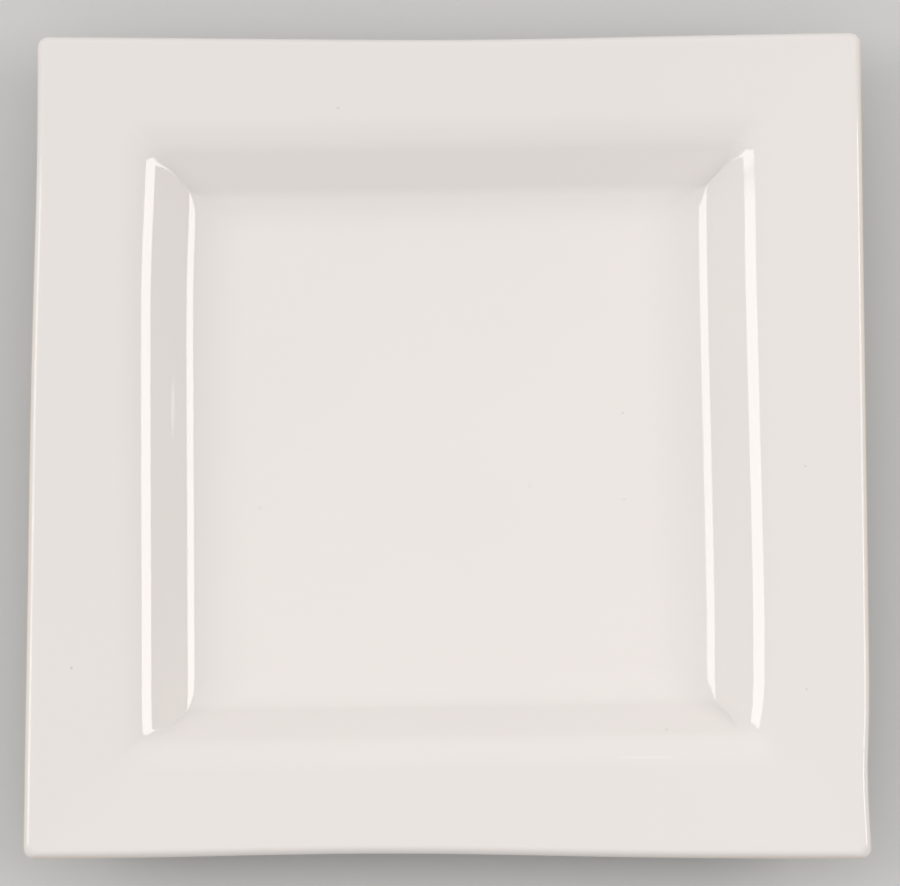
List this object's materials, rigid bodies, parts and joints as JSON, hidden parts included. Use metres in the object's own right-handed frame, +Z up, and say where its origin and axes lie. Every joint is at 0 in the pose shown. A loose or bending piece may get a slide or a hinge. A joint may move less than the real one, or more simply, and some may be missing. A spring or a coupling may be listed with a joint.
{
  "type": "square dinner plate",
  "caption": "Square stoneware dinner plate: wide gently rising rim, sloping walls down to a recessed flat square floor, rounded lip, bare foot ring, white gloss glaze.",
  "frame": {"origin": "on the table, in the middle of the foot ring", "axes": "+Z up out of the well, +X and +Y square to two sides of the plate, which is alike on all four"},
  "size_m": [0.267, 0.267, 0.0281],
  "materials": {
    "fired_clay": "matte",
    "white_glaze": "gloss"
  },
  "bodies": {
    "root": {"clay_body": "fired_clay", "face_glaze": "white_glaze", "recess_glaze": "white_glaze"}
  },
  "joints": []
}
